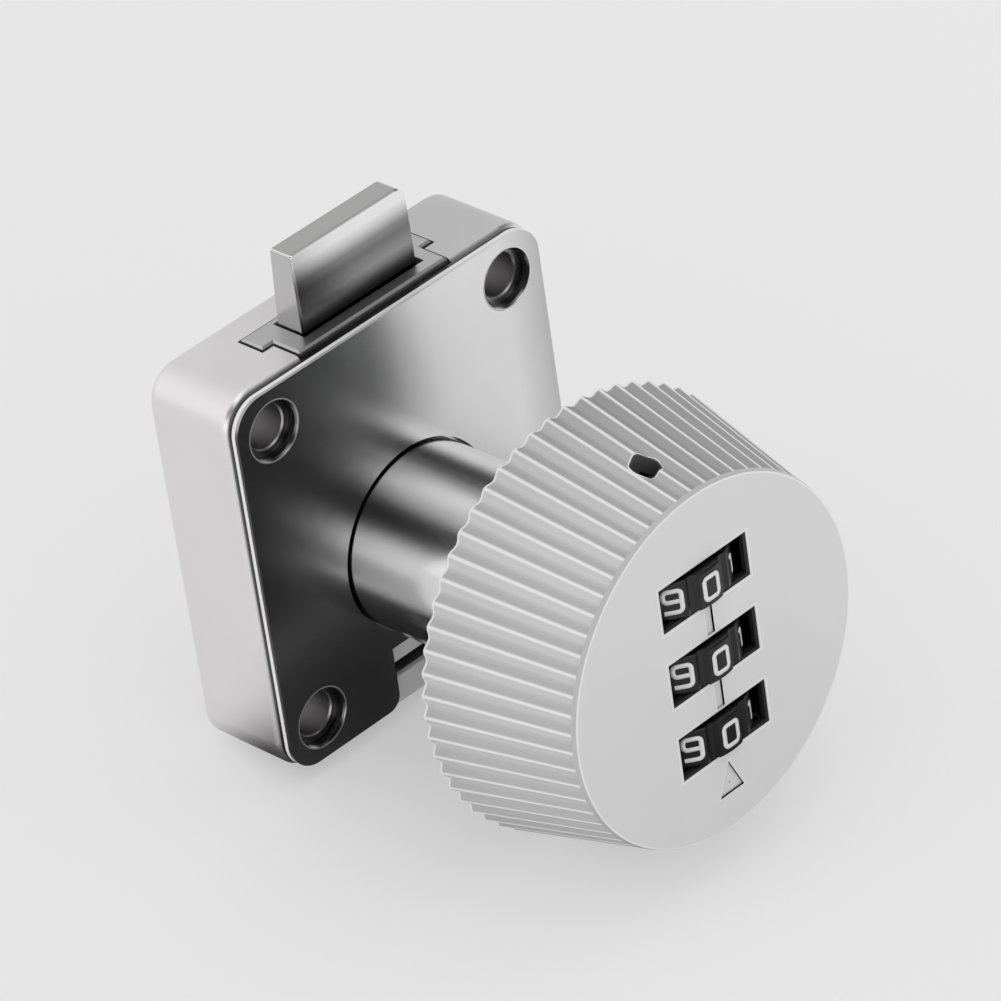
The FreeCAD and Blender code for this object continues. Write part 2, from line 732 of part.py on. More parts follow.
def make_reset_plunger():
    """Reset plunger that caps the axle and shows its stub in the knob's side hole."""
    low = stack_top + stack_gap
    body_top = ear_top_high + plunger_shoulder
    stub_top = tip_radius(axle_y) - plunger_recess
    bore_top = stack_top + axle_reach + reset_travel + 0.2
    body = joined([rod_z(plunger_r, low, body_top, 0.0, axle_y),
                   rod_z(plunger_stub_r, body_top, stub_top, 0.0, axle_y)])
    return trimmed(body, [rod_z(axle_r + running_gap, low - 1.0, bore_top, 0.0, axle_y)])


def make_reset_spring():
    """Coil spring on the axle that keeps the sleeves in mesh with their wheels."""
    radius = axle_r + running_gap + 0.2 + coil_wire / 2.0
    length = stack_bottom[2] - ear_low_high - 0.1
    spring = coil(radius, coil_wire, reset_spring_turns, length)
    spring.translate(vec(0, axle_y, ear_low_high + 0.05))
    return spring


def make_locking_bar():
    """Locking bar: three fingers towards the gates and two teeth towards the barrel's cam."""
    half = bar_width / 2.0
    parts = [block(-half, half, bar_front, bar_rear, bar_low, bar_high)]
    for low in stack_bottom:
        parts.append(block(-finger_width / 2.0, finger_width / 2.0, finger_end, bar_front + 0.01,
                           low + 0.05, low + 0.05 + finger_thickness))
    for side in (-1, 1):
        near, far = sorted((side * tooth_inner_r, side * tooth_outer_r))
        parts.append(block(-finger_width / 2.0, finger_width / 2.0, bar_rear - 0.01, tooth_end, near, far))
    return joined(parts)


def make_bar_springs():
    """Two small coil springs that press the locking bar back into the barrel's cam."""
    length = bar_front - spring_seat - 0.1
    springs = []
    for z in bar_spring_z:
        spring = coil(bar_spring_r - coil_wire / 2.0, coil_wire, bar_spring_turns, length)
        spring.rotate(vec(0, 0, 0), vec(1, 0, 0), -90)
        spring.translate(vec(0, spring_seat + 0.05, z))
        springs.append(spring)
    return Part.Compound(springs)


def make_detent_spring():
    """Leaf with three noses that click into the grooves of the number wheels."""
    low = wheel_centres[2] - wheel_half - prong_clear - prong_thickness
    high = wheel_centres[0] + wheel_half + prong_clear + prong_thickness
    half = detent_width / 2.0
    parts = [block(cheek_out, cheek_out + detent_thickness, axle_y - half, axle_y + half, low, high)]
    tip = wheel_r + 0.1
    for centre in wheel_centres:
        nose = rod_z(detent_nose_r, centre - 1.2, centre + 1.2, tip + detent_nose_r, axle_y)
        stem = block(tip + detent_nose_r, cheek_out + 0.01, axle_y - detent_nose_r, axle_y + detent_nose_r,
                     centre - 1.2, centre + 1.2)
        parts += [nose, stem]
    holes = []
    for z in (low + 0.5 + stake_r, high - 0.5 - stake_r):
        holes.append(Part.makeCylinder(stake_r, 5.0, vec(cheek_out - 1.0, axle_y, z), vec(1, 0, 0)))
    slits = []
    for upper, lower in zip(wheel_centres, wheel_centres[1:]):
        middle = (upper + lower) / 2.0
        slits.append(block(cheek_out - 0.5, cheek_out + 1.0, axle_y - half - 0.5, axle_y + half - 1.2,
                           middle - 0.3, middle + 0.3))
    return trimmed(joined(parts), holes + slits)


pieces = {
    "case": make_case(),
    "cover_plate": make_cover_plate(),
    "bolt_guide": make_bolt_guide(),
    "bolt": make_bolt(),
    "barrel": make_barrel(),
    "bolt_leaf_spring": make_leaf_spring(),
    "drive_shaft": make_drive_shaft(),
    "shaft_screw": make_shaft_screw(),
    "knob_shell": make_knob_shell(),
    "wheel_chassis": make_chassis(),
    "chassis_screws": make_chassis_screws(),
    "wheel_axle": make_axle(),
    "reset_plunger": make_reset_plunger(),
    "reset_spring": make_reset_spring(),
    "locking_bar": make_locking_bar(),
    "locking_bar_springs": make_bar_springs(),
    "wheel_detent_spring": make_detent_spring(),
}
for number, (disc_low, wheel_centre) in enumerate(zip(stack_bottom, wheel_centres), start=1):
    pieces["number_wheel_%d" % number] = make_number_wheel(wheel_centre)
    pieces["code_sleeve_%d" % number] = make_code_sleeve(disc_low, wheel_centre)

os.makedirs("parts", exist_ok=True)
for name, shape in pieces.items():
    shape.exportStep("parts/%s.step" % name)
    print("%-20s solids %d  volume %9.2f mm3  valid %s" % (name, len(shape.Solids), shape.Volume, shape.isValid()))
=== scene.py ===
# %% [markdown]
# A combination lock for a locker door, dressed for a studio picture. The solids come from the imported
# model and keep their places. This file gives them their finishes, several of them with painted shade,
# painted highlights and painted reflections, paints the numbers on the wheels and sets up the floor, the
# lamps and the camera.

# %% Load the imported model
import bpy
import bmesh
import math
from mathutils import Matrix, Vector


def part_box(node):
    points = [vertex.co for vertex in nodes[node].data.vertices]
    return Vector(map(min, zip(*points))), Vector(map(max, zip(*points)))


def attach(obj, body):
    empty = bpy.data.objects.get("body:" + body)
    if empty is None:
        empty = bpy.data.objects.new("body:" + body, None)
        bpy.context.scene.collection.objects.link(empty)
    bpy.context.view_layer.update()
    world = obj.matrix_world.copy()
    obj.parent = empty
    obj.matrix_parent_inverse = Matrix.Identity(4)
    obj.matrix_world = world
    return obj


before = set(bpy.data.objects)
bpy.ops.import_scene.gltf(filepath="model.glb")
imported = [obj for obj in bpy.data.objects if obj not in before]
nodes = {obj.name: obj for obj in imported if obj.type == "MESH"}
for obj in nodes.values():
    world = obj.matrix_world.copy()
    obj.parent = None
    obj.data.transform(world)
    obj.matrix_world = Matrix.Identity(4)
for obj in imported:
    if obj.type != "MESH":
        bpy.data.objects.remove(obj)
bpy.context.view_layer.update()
MM = 0.001

# %% [markdown]
# Colours are written as the hex values that a paint program shows. Blender works with linear
# light, so one function turns each hex value into linear red, green and blue.

# %% Colours
def linear(hex_code):
    """An sRGB hex colour as linear RGBA."""
    values = [int(hex_code[i:i + 2], 16) / 255.0 for i in (1, 3, 5)]
    return tuple(v / 12.92 if v <= 0.04045 else ((v + 0.055) / 1.055) ** 2.4 for v in values) + (1.0,)


print("mid grey in linear light:", [round(v, 3) for v in linear("#808080")])

# %% [markdown]
# Every finish is a small tree of shader nodes. One helper adds a node, sets its values and
# joins its inputs, so that each finish below reads as a short list of what the surface does.

# %% One helper for nodes
def add(tree, kind, settings=None, inputs=None):
    """Adds a node. settings are its properties, inputs are values or (node, output) links."""
    made = tree.nodes.new(kind)
    for name, value in (settings or {}).items():
        setattr(made, name, value)
    for name, value in (inputs or {}).items():
        if isinstance(value, tuple) and len(value) == 2 and isinstance(value[0], bpy.types.Node):
            tree.links.new(value[0].outputs[value[1]], made.inputs[name])
        else:
            made.inputs[name].default_value = value
    return made


def set_stops(ramp, stops, low, high):
    """Puts (value, colour) stops on a colour ramp that runs from a low value to a high one."""
    while len(ramp.color_ramp.elements) < len(stops):
        ramp.color_ramp.elements.new(0.5)
    for element, (value, colour) in zip(ramp.color_ramp.elements, stops):
        element.position = (value - low) / (high - low)
        element.color = colour


def new_finish(name):
    """An empty material with its output, and object coordinates to place patterns by."""
    material = bpy.data.materials.new(name)
    material.use_nodes = True
    tree = material.node_tree
    tree.nodes.clear()
    out = add(tree, "ShaderNodeOutputMaterial")
    place = add(tree, "ShaderNodeTexCoord")
    return material, tree, out, place


print("helpers ready")

# %% [markdown]
# Metal first. Plated zinc, polished steel and black brass differ in colour, in how sharp their reflection
# is, and in the direction of their fine marks. A noise that is stretched along one axis draws those marks:
# it varies the roughness a little and lifts the surface by microns. The function returns the material, and
# through its tree a finish can later get an edge or a bore of another tone.

# %% Metal finishes
def metal(name, tint, shade, roughness, spread, grain_mm, stretch=(1, 1, 1), lift_mm=0.004):
    """A metal whose colour runs from tint to shade and whose marks are grain_mm apart."""
    material, tree, out, place = new_finish(name)
    turned = add(tree, "ShaderNodeMapping", inputs={"Vector": (place, "Object"), "Scale": stretch})
    marks = add(tree, "ShaderNodeTexNoise", inputs={
        "Vector": (turned, "Vector"), "Scale": 1.0 / (grain_mm * MM), "Detail": 3.0, "Roughness": 0.6})
    cloud = add(tree, "ShaderNodeTexNoise", inputs={
        "Vector": (place, "Object"), "Scale": 1.0 / (9.0 * MM), "Detail": 2.0})
    colour = add(tree, "ShaderNodeValToRGB", inputs={"Fac": (cloud, "Fac")})
    set_stops(colour, [(0.3, linear(shade)), (0.7, linear(tint))], 0.0, 1.0)
    rough = add(tree, "ShaderNodeMapRange", inputs={
        "Value": (marks, "Fac"), "From Min": 0.3, "From Max": 0.7,
        "To Min": roughness - spread, "To Max": roughness + spread})
    bump = add(tree, "ShaderNodeBump", inputs={
        "Height": (marks, "Fac"), "Strength": 0.35, "Distance": lift_mm * MM})
    shader = add(tree, "ShaderNodeBsdfPrincipled", inputs={
        "Base Color": (colour, "Color"), "Metallic": 1.0, "Roughness": (rough, "Result"),
        "Normal": (bump, "Normal")})
    tree.links.new(shader.outputs["BSDF"], out.inputs["Surface"])
    return material


# The Mix node lists its sockets for every data type. These are the places of the colour ones.
MIX_A, MIX_B, MIX_RESULT = 6, 7, 2


def graded(material, measure, stops, unit=MM, where=None):
    """Multiplies a finish's colour by a tone that depends on a measure: stops are (value, hex)."""
    tree = material.node_tree
    shader = next(node for node in tree.nodes if node.type == "BSDF_PRINCIPLED")
    socket = shader.inputs["Base Color"]
    before = socket.links[0].from_socket
    low, high = stops[0][0], stops[-1][0]
    share = add(tree, "ShaderNodeMapRange", inputs={
        "Value": measure(tree), "From Min": low * unit, "From Max": high * unit})
    ramp = add(tree, "ShaderNodeValToRGB", inputs={"Fac": (share, "Result")})
    set_stops(ramp, [(value, linear(tone)) for value, tone in stops], low, high)
    both = add(tree, "ShaderNodeMix", {"data_type": "RGBA", "blend_type": "MULTIPLY"}, {
        "Factor": where(tree) if where else 1.0, MIX_B: (ramp, "Color")})
    tree.links.new(before, both.inputs[MIX_A])
    tree.links.new(both.outputs[MIX_RESULT], socket)


def places(tree):
    """A node that splits the finish's object coordinates into X, Y and Z."""
    place = next(node for node in tree.nodes if node.type == "TEX_COORD")
    return add(tree, "ShaderNodeSeparateXYZ", inputs={"Vector": (place, "Object")})


def along(axis):
    """The place along one axis, as a measure for a graded finish."""
    def measure(tree):
        return places(tree), axis
    return measure


def between(axis, low, high, soft):
    """One between two places along an axis and zero outside, in mm, with soft ends."""
    def where(tree):
        parts = places(tree)
        rise = add(tree, "ShaderNodeMapRange", inputs={
            "Value": (parts, axis), "From Min": (low - soft) * MM, "From Max": low * MM})
        fall = add(tree, "ShaderNodeMapRange", inputs={
            "Value": (parts, axis), "From Min": high * MM, "From Max": (high + soft) * MM,
            "To Min": 1.0, "To Max": 0.0})
        both = add(tree, "ShaderNodeMath", {"operation": "MULTIPLY"}, {
            0: (rise, "Result"), 1: (fall, "Result")})
        return both, "Value"
    return where


first_crest, ridge_pitch = 5.0, 6.0
on_ridges = between("Y", -37.45, -22.3, 0.05)


def ridge_phase(tree):
    """How far a point lies from one crest to the next round the knob, from 0 to 1."""
    parts = places(tree)
    angle = add(tree, "ShaderNodeMath", {"operation": "ARCTAN2"}, {0: (parts, "Z"), 1: (parts, "X")})
    turns = add(tree, "ShaderNodeMapRange", {"clamp": False}, {
        "Value": (angle, "Value"), "From Min": math.radians(first_crest),
        "From Max": math.radians(first_crest + ridge_pitch)})
    phase = add(tree, "ShaderNodeMath", {"operation": "FLOORED_MODULO"}, {0: (turns, "Result"), 1: 1.0})
    return phase, "Value"


def in_flutes(tree):
    """One in the flutes of the knob's side, and zero on its crests."""
    half = add(tree, "ShaderNodeMath", {"operation": "SUBTRACT"}, {0: ridge_phase(tree), 1: 0.5})
    away = add(tree, "ShaderNodeMath", {"operation": "ABSOLUTE"}, {0: (half, "Value")})
    deep = add(tree, "ShaderNodeMapRange", inputs={
        "Value": (away, "Value"), "From Min": 0.45, "From Max": 0.38, "To Min": 0.0, "To Max": 1.0})
    both = add(tree, "ShaderNodeMath", {"operation": "MULTIPLY"}, {0: (deep, "Result"), 1: on_ridges(tree)})
    return both, "Value"


def away_from(centre_x, centre_z, half_x=0.0, half_z=0.0):
    """The distance to a line along Y, or to the nearest of four that stand in a rectangle, in mm."""
    def measure(tree):
        place = next(node for node in tree.nodes if node.type == "TEX_COORD")
        centred = add(tree, "ShaderNodeVectorMath", {"operation": "SUBTRACT"}, {
            0: (place, "Object"), 1: (centre_x * MM, 0.0, centre_z * MM)})
        folded = add(tree, "ShaderNodeVectorMath", {"operation": "ABSOLUTE"}, {0: (centred, "Vector")})
        offset = add(tree, "ShaderNodeVectorMath", {"operation": "SUBTRACT"}, {
            0: (folded, "Vector"), 1: (half_x * MM, 0.0, half_z * MM)})
        flat = add(tree, "ShaderNodeVectorMath", {"operation": "MULTIPLY"}, {
            0: (offset, "Vector"), 1: (1.0, 0.0, 1.0)})
        length = add(tree, "ShaderNodeVectorMath", {"operation": "LENGTH"}, {0: (flat, "Vector")})
        return length, "Value"
    return measure


satin_nickel = metal("satin_nickel_on_zinc", "#EEEAEB", "#EAE6E7", 0.36, 0.03, 0.5)
mirror_nickel = metal("mirror_nickel_plate", "#FCFCFC", "#F8F8F8", 0.25, 0.015, 1.5, lift_mm=0.001)
polished_nickel = metal("polished_nickel_bolt", "#FCFCFC", "#F6F6F6", 0.22, 0.02, 0.4, (1, 4, 0.3), 0.001)
turned_nickel = metal("turned_nickel_barrel", "#E8E8E8", "#E2E2E2", 0.17, 0.02, 0.3, (1, 6, 1), 0.001)
guide_steel = metal("tumbled_guide_steel", "#C8C8C8", "#BABABA", 0.38, 0.05, 0.4)
turned_steel = metal("turned_steel", "#B4B4B6", "#A6A6A8", 0.34, 0.05, 0.25, (1, 8, 1))
spring_steel = metal("blued_spring_steel", "#7C8088", "#6A6E76", 0.33, 0.05, 0.3, (0.3, 1, 1))
zinc_screw = metal("zinc_plated_screw", "#C2C6C8", "#B2B6BA", 0.34, 0.05, 0.3)
black_brass = metal("blackened_brass", "#2C2A26", "#221F1C", 0.34, 0.05, 0.25, (1, 1, 8))
print("metals:", len(bpy.data.materials))

# %% [markdown]
# Three of these finishes carry painted light and shade. The screw bores and the ledges round them get
# painted shade, lighter in a thin ring between, and the case's top gets painted shade towards the right.
# The plate's front gets a painted reflection, darker at the left, and its bevel and side walls get dark
# painted shade. The bolt's front gets painted reflections in bands, bright near its end and dark towards
# the guide, and its end face and left side get painted shade. A tone is laid over a finish by multiplying
# its colour, and a measure such as a distance or a height says where.

# %% Painted shade and reflections on the metal
screw_x, screw_low_z, screw_high_z = 15.55, -12.15, 20.2
screw_middle_z = (screw_low_z + screw_high_z) / 2.0
# Painted shade in the screw bores and on the ledge round each, lighter in a thin ring between.
graded(satin_nickel, away_from(0.0, screw_middle_z, screw_x, screw_high_z - screw_middle_z), [
    (2.0, "#C0C2C2"), (2.19, "#C0C2C2"), (2.24, "#CCCCCC"), (2.34, "#CCCCCC"), (2.40, "#B0B0B0"),
    (2.9, "#B0B0B0"), (2.95, "#FFFFFF")])
# Painted shade on the case's top, darker towards the right.
graded(satin_nickel, along("X"), [
    (-12.0, "#FFFFFF"), (8.0, "#E0E3E3"), (20.0, "#E4E7E7")], where=between("Z", 24.3, 30.0, 0.3))
# Painted shade on the plate's bevel and side walls, much darker than its front.
graded(mirror_nickel, along("Y"), [
    (-0.1, "#F0F0F0"), (0.03, "#F0F0F0"), (0.06, "#909090"), (0.7, "#707070"), (0.8, "#505050"),
    (0.95, "#484848"), (1.2, "#808080")])
# Painted reflection on the plate's front: darker at the left, and a little darker at the right end.
graded(mirror_nickel, along("X"), [
    (-20.0, "#D0D0D0"), (-8.0, "#D0D0D0"), (-3.0, "#DCDCDC"), (1.0, "#FFFFFF"), (15.0, "#FFFFFF"),
    (20.0, "#D6D6D6")])
# Painted shade on the bolt's end face.
graded(polished_nickel, along("Z"), [
    (33.0, "#FFFFFF"), (33.58, "#FFFFFF"), (33.62, "#BEBEBC"), (34.0, "#BEBEBC")])
# Painted reflections on the bolt's front, in bands from dark near the guide to white near the end.
graded(polished_nickel, along("Z"), [
    (25.0, "#303030"), (25.7, "#444444"), (26.8, "#848484"), (27.8, "#A0A0A0"), (29.5, "#808080"),
    (30.5, "#989898"), (31.5, "#DCDCDC"), (32.4, "#FFFFFF")], where=between("Y", 2.0, 3.42, 0.1))
# Painted shade on the bolt's left side.
graded(polished_nickel, along("X"), [
    (-7.5, "#CCCCCC"), (-7.42, "#CCCCCC"), (-7.36, "#FFFFFF"), (-7.0, "#FFFFFF")])
print("nodes in the bolt's finish:", len(polished_nickel.node_tree.nodes))

# %% [markdown]
# The knob is painted: a satin light grey coat on cast zinc. Paint is not a metal, so its colour is diffuse
# and a thin clear sheen lies on top. A very fine orange peel keeps it from looking like a flat fill. On the
# ridges the paint carries a painted highlight along each crest and painted shade on the flanks, one flank
# darker than the other, and the flutes get more painted shade towards the knob's right side. The face's rim
# gets a painted highlight and the band behind it painted shade. The black wheels and the chassis are
# moulded plastic, made the same way.

# %% Paint and plastic finishes
def coated(name, tint, shade, roughness, peel_mm, lift_mm, coat=0.0):
    """A painted or moulded surface with a fine peel, its colour between tint and shade."""
    material, tree, out, place = new_finish(name)
    peel = add(tree, "ShaderNodeTexNoise", inputs={
        "Vector": (place, "Object"), "Scale": 1.0 / (peel_mm * MM), "Detail": 2.0, "Roughness": 0.5})
    cloud = add(tree, "ShaderNodeTexNoise", inputs={
        "Vector": (place, "Object"), "Scale": 1.0 / (12.0 * MM), "Detail": 2.0})
    colour = add(tree, "ShaderNodeValToRGB", inputs={"Fac": (cloud, "Fac")})
    set_stops(colour, [(0.3, linear(shade)), (0.7, linear(tint))], 0.0, 1.0)
    bump = add(tree, "ShaderNodeBump", inputs={
        "Height": (peel, "Fac"), "Strength": 0.3, "Distance": lift_mm * MM})
    shader = add(tree, "ShaderNodeBsdfPrincipled", inputs={
        "Base Color": (colour, "Color"), "Roughness": roughness, "IOR": 1.5,
        "Coat Weight": coat, "Coat Roughness": 0.2, "Normal": (bump, "Normal")})
    tree.links.new(shader.outputs["BSDF"], out.inputs["Surface"])
    return material


grey_paint = coated("satin_grey_paint_on_zinc", "#FCFCFC", "#FAFAFA", 0.36, 0.35, 0.004, 0.2)
wheel_black = coated("black_abs_wheel", "#121212", "#0C0C0C", 0.34, 0.3, 0.003)
number_white = coated("white_number_paint", "#F2F2F2", "#E8E8E8", 0.45, 0.2, 0.002)
chassis_nylon = coated("dark_glass_filled_nylon", "#3A3A3C", "#2E2E30", 0.55, 0.25, 0.006)
# White paint that stands in for highlights: on edges, on rims and on the flange's face.
painted_highlight = coated("painted_highlight_white", "#FAFAFA", "#F4F4F4", 0.35, 0.2, 0.002)
# Dark paint that stands in for shade on the walls of the windows and marks.
mark_shade = coated("painted_shade_in_marks", "#262626", "#1C1C1C", 0.5, 0.2, 0.002)
cast_zinc = coated("plain_cast_zinc", "#F4F4F4", "#ECECEC", 0.6, 0.3, 0.004)
# Dark paint that stands in for shade inside the reset hole.
reset_hole_shade = coated("painted_shade_in_reset_hole", "#585858", "#505050", 0.5, 0.2, 0.002)
# Painted highlight on the rim of the knob's face, and painted shade on the band behind it.
graded(grey_paint, away_from(0.0, 0.0), [
    (0.0, "#EAEAEA"), (18.08, "#EAEAEA"), (18.11, "#FFFFFF"), (18.22, "#FFFFFF"), (18.26, "#CACACA"),
    (18.5, "#CACACA")], where=between("Y", -38.2, -37.52, 0.03))
# Painted highlight along each crest, and painted shade on the flanks, one flank darker than the other.
graded(grey_paint, ridge_phase, [
    (0.0, "#FFFFFF"), (0.04, "#FFFFFF"), (0.10, "#DCDCDC"), (0.30, "#E4E4E4"), (0.45, "#DCDCDC"),
    (0.60, "#CCCCCC"), (0.88, "#C4C4C4"), (0.96, "#FFFFFF"), (1.0, "#FFFFFF")],
    unit=1.0, where=on_ridges)
# Painted shade in the flutes, growing towards the knob's right side.
graded(grey_paint, along("X"), [
    (-12.0, "#FFFFFF"), (-4.0, "#F0F0F0"), (4.0, "#C8C8C8"), (22.0, "#BCBCBC")], where=in_flutes)
print("materials so far:", len(bpy.data.materials))

# %% [markdown]
# A CAD node keeps its mesh and gets its finish through its material slots. The dictionary says
# which piece is made of what, and the loop puts the finish on every slot of the piece. Thin trim
# that the solids leave out is added further down, and one helper turns its points into a piece.

# %% Dress the solids
def show(piece):
    """Puts a new object into the scene."""
    bpy.context.scene.collection.objects.link(piece)
    return piece


def closed_piece(name, points, faces, coats, slots=None):
    """A new object from points in metres, with its faces turned outwards and its finishes on."""
    mesh = bpy.data.meshes.new(name)
    mesh.from_pydata(points, [], faces)
    for coat in coats:
        mesh.materials.append(coat)
    for face, slot in zip(mesh.polygons, slots or [0] * len(faces)):
        face.material_index = slot
    worked = bmesh.new()
    worked.from_mesh(mesh)
    bmesh.ops.recalc_face_normals(worked, faces=worked.faces)
    worked.to_mesh(mesh)
    worked.free()
    return show(bpy.data.objects.new(name, mesh))


finishes = {
    "case": satin_nickel, "cover_plate": mirror_nickel, "bolt_guide": guide_steel,
    "bolt": polished_nickel, "barrel": turned_nickel, "bolt_leaf_spring": spring_steel,
    "knob_shell": grey_paint, "wheel_chassis": chassis_nylon, "chassis_screws": zinc_screw,
    "drive_shaft": turned_steel, "shaft_screw": zinc_screw, "wheel_axle": turned_steel,
    "wheel_detent_spring": spring_steel, "reset_spring": spring_steel,
    "locking_bar_springs": spring_steel, "locking_bar": turned_steel, "reset_plunger": turned_steel,
}
for number in (1, 2, 3):
    finishes["number_wheel_%d" % number] = wheel_black
    finishes["code_sleeve_%d" % number] = black_brass


def dress(piece, finish):
    """Puts one finish on every slot of a piece."""
    if not piece.material_slots:
        piece.data.materials.append(finish)
    for slot in piece.material_slots:
        slot.material = finish


for name, finish in finishes.items():
    dress(nodes[name], finish)
print("dressed:", len(finishes), "left plain:", sorted(set(nodes) - set(finishes)))

# %% [markdown]
# Each wheel carries the numbers 0 to 9. On the real wheel they are squared figures of one line
# width, filled with white. A figure is a path on a small grid, 2 wide and 4 high, and Geometry
# Nodes do what a signwriter does: round the path's corners and sweep a flat brush along it.

# %% The figures as paths
FIGURES = {
    0: [[(0, 0), (2, 0), (2, 4), (0, 4), "close"]],
    1: [[(0.4, 3.2), (1.2, 4), (1.2, 0)]],
    2: [[(0, 4), (2, 4), (2, 2), (0, 2), (0, 0), (2, 0)]],
    3: [[(0, 4), (2, 4), (2, 0), (0, 0)], [(0.5, 2), (2, 2)]],
    4: [[(0, 4), (0, 1.6), (2, 1.6)], [(1.5, 2.8), (1.5, 0)]],
    5: [[(2, 4), (0, 4), (0, 2), (2, 2), (2, 0), (0, 0)]],
    6: [[(2, 4), (0, 4), (0, 0), (2, 0), (2, 2), (0, 2)]],
    7: [[(0, 4), (2, 4), (2, 3), (0.9, 0)]],
    8: [[(0, 0), (2, 0), (2, 4), (0, 4), "close"], [(0, 2), (2, 2)]],
    9: [[(0, 0), (2, 0), (2, 4), (0, 4), (0, 2), (2, 2)]],
}
figure_height = 2.75 * MM
figure_width = 2.2 * MM
brush_width = 0.46 * MM
brush_thickness = 0.05 * MM
corner_round = 0.42 * MM


def brush_tree():
    """A node tree that rounds a path's corners and sweeps a flat brush along it."""
    tree = bpy.data.node_groups.new("flat_brush", "GeometryNodeTree")
    tree.interface.new_socket("Geometry", in_out="INPUT", socket_type="NodeSocketGeometry")
    for label in ("Brush Width", "Brush Thickness", "Corner Radius"):
        tree.interface.new_socket(label, in_out="INPUT", socket_type="NodeSocketFloat")
    tree.interface.new_socket("Finish", in_out="INPUT", socket_type="NodeSocketMaterial")
    tree.interface.new_socket("Geometry", in_out="OUTPUT", socket_type="NodeSocketGeometry")
    given = add(tree, "NodeGroupInput")
    rounded = add(tree, "GeometryNodeFilletCurve", {"mode": "POLY"}, {
        "Curve": (given, "Geometry"), "Count": 5, "Radius": (given, "Corner Radius"), "Limit Radius": True})
    upright = add(tree, "GeometryNodeSetCurveNormal", {"mode": "Z_UP"}, {"Curve": (rounded, "Curve")})
    brush = add(tree, "GeometryNodeCurvePrimitiveQuadrilateral", inputs={
        "Width": (given, "Brush Width"), "Height": (given, "Brush Thickness")})
    swept = add(tree, "GeometryNodeCurveToMesh", inputs={
        "Curve": (upright, "Curve"), "Profile Curve": (brush, "Curve"), "Fill Caps": True})
    solid = add(tree, "GeometryNodeRealizeInstances", inputs={"Geometry": (swept, "Mesh")})
    painted = add(tree, "GeometryNodeSetMaterial", inputs={
        "Geometry": (solid, "Geometry"), "Material": (given, "Finish")})
    add(tree, "NodeGroupOutput", inputs={"Geometry": (painted, "Geometry")})
    return tree


flat_brush = brush_tree()
print("figures:", len(FIGURES), "nodes in the brush:", len(flat_brush.nodes))

# %% [markdown]
# The paths are drawn flat, as one curve object for a whole wheel, ten figures in a row. Then
# each point is wrapped on the wheel: its distance along the row becomes an angle. Zero sits at
# the front, and the numbers rise to the right as the real wheel's do.

# %% Draw and wrap the numbers
wheel_radius = 6.65 * MM
axle_y = -32.3 * MM
figure_lift = 0.02 * MM


def number_row(name):
    """One flat curve object with the ten figures side by side."""
    data = bpy.data.curves.new(name, "CURVE")
    data.dimensions = "3D"
    for digit, strokes in FIGURES.items():
        middle = digit * math.radians(36.0) * wheel_radius
        for stroke in strokes:
            points = [p for p in stroke if p != "close"]
            spline = data.splines.new("POLY")
            spline.points.add(len(points) - 1)
            spline.use_cyclic_u = len(points) != len(stroke)
            for point, (u, v) in zip(spline.points, points):
                x = middle + (u / 2.0 - 0.5) * (figure_width - brush_width)
                y = (v / 4.0 - 0.5) * (figure_height - brush_width)
                point.co = (x, y, 0.0, 1.0)
    return show(bpy.data.objects.new(name, data))


def swept_mesh(piece, tree, values):
    """The plain mesh that a node tree makes from a piece, with the tree's inputs set by label."""
    modifier = piece.modifiers.new("brush", "NODES")
    modifier.node_group = tree
    for item in tree.interface.items_tree:
        if item.in_out == "INPUT" and item.name in values:
            modifier[item.identifier] = values[item.name]
    graph = bpy.context.evaluated_depsgraph_get()
    mesh = bpy.data.meshes.new_from_object(piece.evaluated_get(graph))
    bpy.data.objects.remove(piece)
    return mesh


def wheel_numbers(name, centre_z):
    """The ten white numbers of one wheel, wrapped on its rim."""
    mesh = swept_mesh(number_row(name + "_row"), flat_brush, {
        "Brush Width": brush_width, "Brush Thickness": brush_thickness,
        "Corner Radius": corner_round, "Finish": number_white})
    for vertex in mesh.vertices:
        angle = vertex.co.x / wheel_radius
        reach = wheel_radius + figure_lift + vertex.co.z
        height = vertex.co.y
        vertex.co = (reach * math.sin(angle), axle_y - reach * math.cos(angle), centre_z + height)
    return show(bpy.data.objects.new(name, mesh))


for number in (1, 2, 3):
    low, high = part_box("number_wheel_%d" % number)
    painted = wheel_numbers("numbers_%d" % number, (low.z + high.z) / 2.0)
    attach(painted, "wheel_%d" % number)
    print(painted.name, "faces:", len(painted.data.polygons))

# %% [markdown]
# Along the sharp edges of the knob's front, round the windows, the engraved line and the triangle, thin
# white skins are painted highlights, and dark skins on the sunken walls below them are painted shade. Each
# is a thin closed skin between two loops of points, an outer one and an inner one, so one function makes
# them all.

# %% Painted highlights on edges and painted shade on walls
knob_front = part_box("knob_shell")[0].y
skin = 0.012 * MM


def rectangle(half_x, low_z, high_z):
    """Corners of an upright rectangle, in mm."""
    return [(-half_x, low_z), (half_x, low_z), (half_x, high_z), (-half_x, high_z)]


def edge_skin(name, bands, finish):
    """A thin skin for each band: an outer and an inner row of points with their depths.

    Two points make an open strip, more points make a closed ring.
    """
    points, faces = [], []
    for outer, outer_depth, inner, inner_depth in bands:
        start = len(points)
        count = len(outer)
        for loop, depth in ((outer, outer_depth), (inner, inner_depth)):
            for lift in (0.0, 1.0):
                points += [(x * MM, knob_front + depth * MM - lift * skin, z * MM) for x, z in loop]
        for step in range(count if count > 2 else 1):
            ahead = (step + 1) % count
            rows = [start, start + count, start + 3 * count, start + 2 * count]
            for row, above in zip(rows, rows[1:] + rows[:1]):
                faces.append((row + step, row + ahead, above + ahead, above + step))
    piece = closed_piece(name, points, faces, [finish])
    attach(piece, "knob")
    return piece


